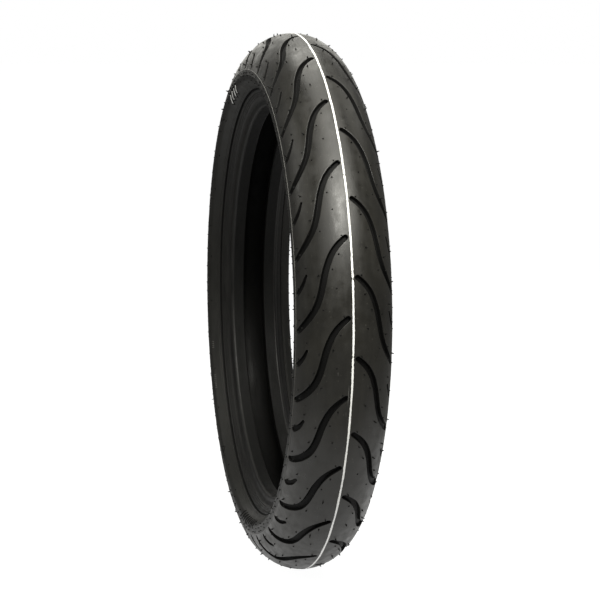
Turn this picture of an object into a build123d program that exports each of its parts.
from build123d import *
import os
from math import atan2, cos, degrees, hypot, radians, sin

# A tubeless motorcycle front tyre standing on its tread.
# Row frame: origin at the tyre's centre, axle along Y, +Z up.  Millimetres.
# Section sketches lie on Plane.XY with x as the radius and y as the offset from the
# middle plane; every ring is such a section revolved about the Y axis.

os.makedirs("parts", exist_ok=True)

# ---------------------------------------------------------------- driving dimensions
OUTER_RADIUS = 296.0        # half the overall diameter
BEAD_RADIUS = 216.0         # rim seat, nominal 17 inch code
CROWN_RADIUS = 50.5         # radius of the tread's cross arc
TREAD_EDGE = 78.0           # tread half angle about the crown centre, degrees
SIDE_TURN_RADIUS = 10.0     # outer radius of the tight turn below the widest point
SIDE_TURN_START = 83.6      # where the crown arc hands over to that turn, degrees
SIDE_TURN_END = 145.0       # where the turn runs out into the straight lower wall

CAP_DEPTH = 5.3             # tread cap at the crown
BASE_DEPTH = 1.0            # tread base
BREAKER_DEPTH = 0.85        # each breaker belt
PLY_DEPTH = 0.75            # each casing ply
LINER_DEPTH = 1.0           # airtight liner
SIDE_RUBBER = 2.0           # sidewall rubber over the plies at the turn
CAP_EDGE_DEPTH = 2.2        # tread cap left at the tread edge
BASE_EDGE_DEPTH = 0.55      # tread base left at the tread edge
OUTER_BREAKER_EDGE = 46.0   # half angles of the two belts, degrees
INNER_BREAKER_EDGE = 50.0

STRIPE_WIDTH = 2.0          # pale ring round the crown
STRIPE_DEPTH = 0.3

BUNDLE_CENTRE = (220.7, 17.6)   # radius and offset of a bead bundle
BUNDLE_HALF = 2.7               # half the side of the wrapped bundle
WIRE_RADIUS = 0.5
WIRE_PITCH = 1.2
WIRE_ROWS = 4
FILLER_TIP_RADIUS = 236.0   # the filler reaches up the lower wall to here
SOLE_DEPTH = 1.25           # chafer thickness under the bead
TOE_OFFSET = 12.0           # bead toe from the middle plane
HEEL_OFFSET = 27.2          # bead heel from the middle plane
FLANGE_CORNER = (223.0, 28.2)   # where the bead face meets the flange's flare
CHAFER_HEEL = 24.0          # outer edge of the chafer
PLY_END_RADIUS = 221.0      # outer ply stops here beside the bundle
LOWER_WALL_LENGTH = 11.5    # straight wall from the turn to the rim line
RIM_LINE_RADIUS = 0.8       # moulded groove at the rim line
HEEL_FILLET = 3.0
TOE_FILLET = 1.2
FLANGE_FILLET = 8.0

PITCHES = 23                # repeats of the groove pattern round the tread
GROOVE_TOP = 2.5            # the cutting tool stands this far above the tread
GROOVE_WALL = 0.14          # each wall leans out this much per millimetre of depth
FIRST_GROOVE = 3.0          # angle of the first left groove's inner end, degrees
# Groove centrelines: turn about the axle in degrees against distance from the crown
# along the tread surface, with the groove's width and depth there.
LONG_GROOVE = (
    (0.0, 5.2, 5.4, 4.2), (1.0, 11.4, 5.8, 4.2), (2.4, 17.7, 6.2, 4.2),
    (4.1, 22.6, 6.6, 4.2), (6.5, 27.2, 7.0, 4.2), (9.0, 30.4, 7.2, 4.2),
    (11.2, 33.4, 7.3, 4.2), (13.4, 38.1, 7.5, 4.1), (15.3, 45.0, 7.6, 3.9),
    (16.9, 52.8, 7.6, 3.4), (18.2, 61.0, 7.4, 2.2), (19.3, 70.5, 7.2, -0.6),
)
SHORT_GROOVE = (
    (6.9, 49.6, 3.2, 2.4), (8.7, 55.0, 5.2, 2.9), (10.0, 61.6, 6.2, 2.0),
    (11.2, 70.5, 6.6, -0.6),
)

# ---------------------------------------------------------------- section geometry
CROWN_CENTRE = (OUTER_RADIUS - CROWN_RADIUS, 0.0)


def polar(centre, radius, angle):
    """Point at a radius and angle (degrees) from a centre in the section."""
    return (centre[0] + radius * cos(radians(angle)), centre[1] + radius * sin(radians(angle)))


TURN_CENTRE = polar(CROWN_CENTRE, CROWN_RADIUS - SIDE_TURN_RADIUS, SIDE_TURN_START)
PLY_CROWN = CROWN_RADIUS - CAP_DEPTH - BASE_DEPTH - 2 * BREAKER_DEPTH
PLY_TURN = SIDE_TURN_RADIUS - SIDE_RUBBER
CENTRE_SPAN = CROWN_RADIUS - SIDE_TURN_RADIUS


def arccos_degrees(value):
    return degrees(atan2((1 - value * value) ** 0.5, value))


# The casing runs round the crown, straight down the shoulder, round the turn and down
# the lower wall; the shoulder line touches both arcs at this angle.
SHOULDER_ANGLE = SIDE_TURN_START - arccos_degrees((PLY_CROWN - PLY_TURN) / CENTRE_SPAN)
WALL_SLOPE = (cos(radians(SIDE_TURN_END + 90)), sin(radians(SIDE_TURN_END + 90)))


def wall_at_radius(turn_radius, radius):
    """Point at a given radius on the straight lower wall of one layer."""
    start = polar(TURN_CENTRE, turn_radius, SIDE_TURN_END)
    travel = (radius - start[0]) / WALL_SLOPE[0]
    return (radius, start[1] + travel * WALL_SLOPE[1])


def wall_at_offset(turn_radius, offset):
    """Point at a given offset from the middle plane on one layer's lower wall."""
    start = polar(TURN_CENTRE, turn_radius, SIDE_TURN_END)
    travel = (offset - start[1]) / WALL_SLOPE[1]
    return (start[0] + travel * WALL_SLOPE[0], offset)


BUNDLE_IN = BUNDLE_CENTRE[1] - BUNDLE_HALF
BUNDLE_OUT = BUNDLE_CENTRE[1] + BUNDLE_HALF
BUNDLE_LOW = BUNDLE_CENTRE[0] - BUNDLE_HALF
BUNDLE_HIGH = BUNDLE_CENTRE[0] + BUNDLE_HALF
FILLER_TIP = wall_at_radius(PLY_TURN - PLY_DEPTH, FILLER_TIP_RADIUS)
FILLER_ANGLE = degrees(atan2(FILLER_TIP[1] - BUNDLE_OUT, FILLER_TIP[0] - BUNDLE_HIGH))


def turn_up_at_offset(step, offset):
    """Point at a given offset on a line parallel to the filler's outer face."""
    base = polar((BUNDLE_HIGH, BUNDLE_OUT), step, FILLER_ANGLE + 90)
    travel = (offset - base[1]) / sin(radians(FILLER_ANGLE))
    return (base[0] + travel * cos(radians(FILLER_ANGLE)), offset)


def turn_up_meets_wall(step, turn_radius):
    """Where a line parallel to the filler's outer face meets a layer's lower wall."""
    start = polar(TURN_CENTRE, turn_radius, SIDE_TURN_END)
    across = (-sin(radians(FILLER_ANGLE)), cos(radians(FILLER_ANGLE)))
    height = (start[0] - BUNDLE_HIGH) * across[0] + (start[1] - BUNDLE_OUT) * across[1]
    rate = WALL_SLOPE[0] * across[0] + WALL_SLOPE[1] * across[1]
    travel = (step - height) / rate
    return (start[0] + travel * WALL_SLOPE[0], start[1] + travel * WALL_SLOPE[1])


def step_from_filler(point, step):
    """Drop a point square onto a line parallel to the filler's outer face."""
    across = (-sin(radians(FILLER_ANGLE)), cos(radians(FILLER_ANGLE)))
    height = (point[0] - BUNDLE_HIGH) * across[0] + (point[1] - BUNDLE_OUT) * across[1]
    return (point[0] - (height - step) * across[0], point[1] - (height - step) * across[1])


def casing_line(depth):
    """Half of one casing surface, from the crown to the end of the side turn."""
    crown, turn = PLY_CROWN - depth, PLY_TURN - depth
    CenterArc(CROWN_CENTRE, crown, 0, SHOULDER_ANGLE)
    Line(polar(CROWN_CENTRE, crown, SHOULDER_ANGLE), polar(TURN_CENTRE, turn, SHOULDER_ANGLE))
    CenterArc(TURN_CENTRE, turn, SHOULDER_ANGLE, SIDE_TURN_END - SHOULDER_ANGLE)


def casing_crown(depth):
    return (CROWN_CENTRE[0] + PLY_CROWN - depth, 0.0)


def casing_wall(depth):
    return polar(TURN_CENTRE, PLY_TURN - depth, SIDE_TURN_END)


def tread_line(radius, edge_depth):
    """Half of one tread layer's inner surface: crown arc, then straight to the edge."""
    edge = CROWN_RADIUS - edge_depth
    touch = TREAD_EDGE - arccos_degrees(radius / edge)
    CenterArc(CROWN_CENTRE, radius, 0, touch)
    Line(polar(CROWN_CENTRE, radius, touch), polar(CROWN_CENTRE, edge, TREAD_EDGE))


CAP_INNER = CROWN_RADIUS - CAP_DEPTH
BASE_INNER = CAP_INNER - BASE_DEPTH
CAP_EDGE = polar(CROWN_CENTRE, CROWN_RADIUS - CAP_EDGE_DEPTH, TREAD_EDGE)
BASE_EDGE_TOTAL = CAP_EDGE_DEPTH + BASE_EDGE_DEPTH
BASE_EDGE = polar(CROWN_CENTRE, CROWN_RADIUS - BASE_EDGE_TOTAL, TREAD_EDGE)
CASING_AT_EDGE = polar(
    CROWN_CENTRE, PLY_CROWN / cos(radians(TREAD_EDGE - SHOULDER_ANGLE)), TREAD_EDGE
)
OUTER_EDGE = polar(CROWN_CENTRE, CROWN_RADIUS, TREAD_EDGE)
WALL_TOP = polar(TURN_CENTRE, SIDE_TURN_RADIUS, SIDE_TURN_END)
RIM_LINE = (
    WALL_TOP[0] + LOWER_WALL_LENGTH * WALL_SLOPE[0],
    WALL_TOP[1] + LOWER_WALL_LENGTH * WALL_SLOPE[1],
)
RIM_LINE_FOOT = step_from_filler(RIM_LINE, 2 * PLY_DEPTH)
TURN_UP_TIP = turn_up_meets_wall(PLY_DEPTH, PLY_TURN - PLY_DEPTH)
OUTER_PLY_BEND = turn_up_meets_wall(2 * PLY_DEPTH, PLY_TURN)
TURN_UP_FACE = BUNDLE_OUT + PLY_DEPTH
OUTER_PLY_FACE = BUNDLE_OUT + 2 * PLY_DEPTH
INNER_PLY_FACE = BUNDLE_IN - PLY_DEPTH
SOLE_TOP = BEAD_RADIUS + SOLE_DEPTH
LINER_FOOT = wall_at_offset(PLY_TURN - 2 * PLY_DEPTH, INNER_PLY_FACE)
LINER_TOE = wall_at_radius(PLY_TURN - 2 * PLY_DEPTH - LINER_DEPTH, LINER_FOOT[0])


def ring(section):
    """Close the current section sketch and turn it about the axle."""
    revolve(section, axis=Axis.Y, revolution_arc=360)


def hand_in(builder, node):
    builder.part.label = node
    export_step(builder.part, f"parts/{node}.step")


# ---------------------------------------------------------------- tread cap and stripe
with BuildPart() as tread_cap:
    with BuildSketch() as cap_section:
        with BuildLine():
            CenterArc(CROWN_CENTRE, CROWN_RADIUS, 0, TREAD_EDGE)
            Line(OUTER_EDGE, CAP_EDGE)
            tread_line(CAP_INNER, CAP_EDGE_DEPTH)
            Line((CROWN_CENTRE[0] + CAP_INNER, 0), (OUTER_RADIUS, 0))
        make_face()
        mirror(about=Plane.XZ)
        with Locations((OUTER_RADIUS, 0)):
            Rectangle(2 * STRIPE_DEPTH, STRIPE_WIDTH, mode=Mode.SUBTRACT)
    ring(cap_section.sketch)

with BuildPart() as centre_stripe:
    with BuildSketch() as stripe_section:
        with Locations(CROWN_CENTRE):
            Circle(CROWN_RADIUS)
        with Locations((OUTER_RADIUS, 0)):
            Rectangle(2 * STRIPE_DEPTH, STRIPE_WIDTH, mode=Mode.INTERSECT)
    ring(stripe_section.sketch)
hand_in(centre_stripe, "centre_stripe")


def on_tread(turn, reach):
    """Point on the tread at an angle about the axle and a reach along its surface."""
    lean = reach / CROWN_RADIUS
    radius = CROWN_CENTRE[0] + CROWN_RADIUS * cos(lean)
    return Vector(
        radius * cos(radians(turn)), -CROWN_RADIUS * sin(lean), radius * sin(radians(turn))
    )


def tread_normal(point):
    radius = hypot(point.X, point.Z)
    out = (radius - CROWN_CENTRE[0]) / radius
    return Vector(point.X * out, point.Y, point.Z * out).normalized()


def groove_tool(stations):
    """Cutter for one left-hand groove, lofted square to the tread along its centreline."""
    points = [on_tread(-turn, reach) for turn, reach, _, _ in stations]
    path = Spline(points, mode=Mode.PRIVATE)
    with BuildPart(mode=Mode.PRIVATE) as tool:
        for point, (_, _, width, depth) in zip(points, stations):
            along = path.tangent_at(path.param_at_point(point))
            normal = tread_normal(point)
            side = normal.cross(along).normalized()
            plane = Plane(origin=point, x_dir=side, z_dir=side.cross(normal))
            top = width / 2 + GROOVE_TOP * GROOVE_WALL
            low = width / 2 - depth * GROOVE_WALL
            with BuildSketch(plane):
                Polygon((-top, GROOVE_TOP), (top, GROOVE_TOP), (low, -depth), (-low, -depth),
                        align=None)
        loft()
        # Round inner end of the groove.
        _, _, width, depth = stations[0]
        nose = points[0] - tread_normal(points[0]) * depth
        with Locations(Plane(origin=nose, z_dir=tread_normal(points[0]))):
            Cone(width / 2 - depth * GROOVE_WALL, width / 2 + GROOVE_TOP * GROOVE_WALL,
                 depth + GROOVE_TOP, align=(Align.CENTER, Align.CENTER, Align.MIN))
    return tool.part


left_tools = [groove_tool(LONG_GROOVE), groove_tool(SHORT_GROOVE)]
right_tools = [tool.mirror(Plane.XZ) for tool in left_tools]
pitch = 360 / PITCHES
cutters = []
for index in range(PITCHES):
    left_turn = FIRST_GROOVE + index * pitch
    for tool in left_tools:
        cutters.append(tool.rotate(Axis.Y, -left_turn))
    for tool in right_tools:
        cutters.append(tool.rotate(Axis.Y, -(left_turn + pitch / 2)))
with tread_cap:
    add(cutters, mode=Mode.SUBTRACT)
hand_in(tread_cap, "tread_cap")

# ---------------------------------------------------------------- layers under the tread
with BuildPart() as tread_base:
    with BuildSketch() as base_section:
        with BuildLine():
            tread_line(CAP_INNER, CAP_EDGE_DEPTH)
            Line(CAP_EDGE, BASE_EDGE)
            tread_line(BASE_INNER, BASE_EDGE_TOTAL)
            Line((CROWN_CENTRE[0] + BASE_INNER, 0), (CROWN_CENTRE[0] + CAP_INNER, 0))
        make_face()
        mirror(about=Plane.XZ)
    ring(base_section.sketch)
hand_in(tread_base, "tread_base")


def breaker_line(outer, edge):
    """Outline of half a belt of even thickness, cut square at its edge."""
    inner = outer - BREAKER_DEPTH
    CenterArc(CROWN_CENTRE, outer, 0, edge)
    Line(polar(CROWN_CENTRE, outer, edge), polar(CROWN_CENTRE, inner, edge))
    CenterArc(CROWN_CENTRE, inner, 0, edge)
    Line((CROWN_CENTRE[0] + inner, 0), (CROWN_CENTRE[0] + outer, 0))


BELTS = {
    "outer_breaker": (BASE_INNER, OUTER_BREAKER_EDGE),
    "inner_breaker": (BASE_INNER - BREAKER_DEPTH, INNER_BREAKER_EDGE),
}
for node, (outer, edge) in BELTS.items():
    with BuildPart() as breaker:
        with BuildSketch() as belt_section:
            with BuildLine():
                breaker_line(outer, edge)
            make_face()
            mirror(about=Plane.XZ)
        ring(belt_section.sketch)
    hand_in(breaker, node)

# ---------------------------------------------------------------- casing
with BuildPart() as outer_carcass_ply:
    with BuildSketch() as outer_ply_section:
        with BuildLine():
            casing_line(0)
            Polyline(casing_wall(0), OUTER_PLY_BEND,
                     turn_up_at_offset(2 * PLY_DEPTH, OUTER_PLY_FACE),
                     (PLY_END_RADIUS, OUTER_PLY_FACE), (PLY_END_RADIUS, TURN_UP_FACE),
                     turn_up_at_offset(PLY_DEPTH, TURN_UP_FACE), TURN_UP_TIP,
                     casing_wall(PLY_DEPTH))
            casing_line(PLY_DEPTH)
            Line(casing_crown(PLY_DEPTH), casing_crown(0))
        make_face()
        mirror(about=Plane.XZ)
    ring(outer_ply_section.sketch)
hand_in(outer_carcass_ply, "outer_carcass_ply")

with BuildPart() as inner_carcass_ply:
    with BuildSketch() as inner_ply_section:
        with BuildLine():
            casing_line(PLY_DEPTH)
            Polyline(casing_wall(PLY_DEPTH), TURN_UP_TIP,
                     turn_up_at_offset(PLY_DEPTH, TURN_UP_FACE), (SOLE_TOP, TURN_UP_FACE),
                     (SOLE_TOP, INNER_PLY_FACE), LINER_FOOT, casing_wall(2 * PLY_DEPTH))
            casing_line(2 * PLY_DEPTH)
            Line(casing_crown(2 * PLY_DEPTH), casing_crown(PLY_DEPTH))
        make_face()
        with BuildLine():
            Polyline(FILLER_TIP, (BUNDLE_HIGH, BUNDLE_IN), (BUNDLE_LOW, BUNDLE_IN),
                     (BUNDLE_LOW, BUNDLE_OUT), (BUNDLE_HIGH, BUNDLE_OUT), close=True)
        make_face(mode=Mode.SUBTRACT)
        mirror(about=Plane.XZ)
    ring(inner_ply_section.sketch)
hand_in(inner_carcass_ply, "inner_carcass_ply")

with BuildPart() as inner_liner:
    with BuildSketch() as liner_section:
        with BuildLine():
            casing_line(2 * PLY_DEPTH)
            Polyline(casing_wall(2 * PLY_DEPTH), LINER_FOOT, LINER_TOE,
                     casing_wall(2 * PLY_DEPTH + LINER_DEPTH))
            casing_line(2 * PLY_DEPTH + LINER_DEPTH)
            Line(casing_crown(2 * PLY_DEPTH + LINER_DEPTH), casing_crown(2 * PLY_DEPTH))
        make_face()
        mirror(about=Plane.XZ)
    ring(liner_section.sketch)
hand_in(inner_liner, "inner_liner")

# ---------------------------------------------------------------- one side of the tyre
with BuildPart() as sidewall:
    with BuildSketch() as sidewall_section:
        with BuildLine():
            CenterArc(CROWN_CENTRE, CROWN_RADIUS, TREAD_EDGE, SIDE_TURN_START - TREAD_EDGE)
            CenterArc(TURN_CENTRE, SIDE_TURN_RADIUS, SIDE_TURN_START,
                      SIDE_TURN_END - SIDE_TURN_START)
            Polyline(WALL_TOP, RIM_LINE, RIM_LINE_FOOT, OUTER_PLY_BEND, casing_wall(0))
            CenterArc(TURN_CENTRE, PLY_TURN, SHOULDER_ANGLE, SIDE_TURN_END - SHOULDER_ANGLE)
            Polyline(polar(TURN_CENTRE, PLY_TURN, SHOULDER_ANGLE), CASING_AT_EDGE, OUTER_EDGE)
        make_face()
        with Locations(RIM_LINE):
            Circle(RIM_LINE_RADIUS, mode=Mode.SUBTRACT)
    ring(sidewall_section.sketch)

with BuildPart() as shoulder_cushion:
    with BuildSketch() as cushion_section:
        with BuildLine():
            tread_line(BASE_INNER, BASE_EDGE_TOTAL)
            Polyline(BASE_EDGE, CASING_AT_EDGE, polar(CROWN_CENTRE, PLY_CROWN, SHOULDER_ANGLE))
            CenterArc(CROWN_CENTRE, PLY_CROWN, 0, SHOULDER_ANGLE)
            Line(casing_crown(0), (CROWN_CENTRE[0] + BASE_INNER, 0))
        make_face()
        for outer, edge in BELTS.values():
            with BuildLine():
                breaker_line(outer, edge)
            make_face(mode=Mode.SUBTRACT)
    ring(cushion_section.sketch)

with BuildPart() as rim_strip:
    with BuildSketch() as strip_section:
        with BuildLine():
            Polyline((SOLE_TOP, TURN_UP_FACE), (PLY_END_RADIUS, TURN_UP_FACE),
                     (PLY_END_RADIUS, OUTER_PLY_FACE),
                     turn_up_at_offset(2 * PLY_DEPTH, OUTER_PLY_FACE), RIM_LINE_FOOT,
                     RIM_LINE, FLANGE_CORNER, (BEAD_RADIUS, HEEL_OFFSET),
                     (BEAD_RADIUS, CHAFER_HEEL), (SOLE_TOP, CHAFER_HEEL), close=True)
        make_face()
        corners = strip_section.vertices()
        fillet(corners.sort_by_distance((*FLANGE_CORNER, 0))[0], FLANGE_FILLET)
        heel = strip_section.vertices().sort_by_distance((BEAD_RADIUS, HEEL_OFFSET, 0))[0]
        fillet(heel, HEEL_FILLET)
        with Locations(RIM_LINE):
            Circle(RIM_LINE_RADIUS, mode=Mode.SUBTRACT)
    ring(strip_section.sketch)

with BuildPart() as chafer:
    with BuildSketch() as chafer_section:
        with BuildLine():
            Polyline(LINER_FOOT, (SOLE_TOP, INNER_PLY_FACE), (SOLE_TOP, CHAFER_HEEL),
                     (BEAD_RADIUS, CHAFER_HEEL), (BEAD_RADIUS, TOE_OFFSET), LINER_TOE,
                     close=True)
        make_face()
        toe = chafer_section.vertices().sort_by_distance((BEAD_RADIUS, TOE_OFFSET, 0))[0]
        fillet(toe, TOE_FILLET)
    ring(chafer_section.sketch)

with BuildPart() as bead_filler:
    with BuildSketch() as filler_section:
        with BuildLine():
            Polyline(FILLER_TIP, (BUNDLE_HIGH, BUNDLE_IN), (BUNDLE_HIGH, BUNDLE_OUT), close=True)
        make_face()
    ring(filler_section.sketch)

with BuildPart() as bead_wrap:
    with BuildSketch() as wrap_section:
        with Locations(BUNDLE_CENTRE):
            Rectangle(2 * BUNDLE_HALF, 2 * BUNDLE_HALF)
            with GridLocations(WIRE_PITCH, WIRE_PITCH, WIRE_ROWS, WIRE_ROWS):
                Circle(WIRE_RADIUS, mode=Mode.SUBTRACT)
    ring(wrap_section.sketch)

with BuildPart() as bead_core:
    with BuildSketch() as wire_section:
        with Locations(BUNDLE_CENTRE):
            with GridLocations(WIRE_PITCH, WIRE_PITCH, WIRE_ROWS, WIRE_ROWS):
                Circle(WIRE_RADIUS)
    ring(wire_section.sketch)

# The sections above are drawn on the +Y side, which is the right-hand side; the left-hand
# pieces are their mirror images in the middle plane.
SIDE_PIECES = {
    "sidewall": sidewall, "shoulder_cushion": shoulder_cushion, "rim_strip": rim_strip,
    "chafer": chafer, "bead_filler": bead_filler, "bead_wrap": bead_wrap,
    "bead_core": bead_core,
}
for name, right in SIDE_PIECES.items():
    hand_in(right, f"right_{name}")
    with BuildPart() as left:
        mirror(right.part, about=Plane.XZ)
    hand_in(left, f"left_{name}")
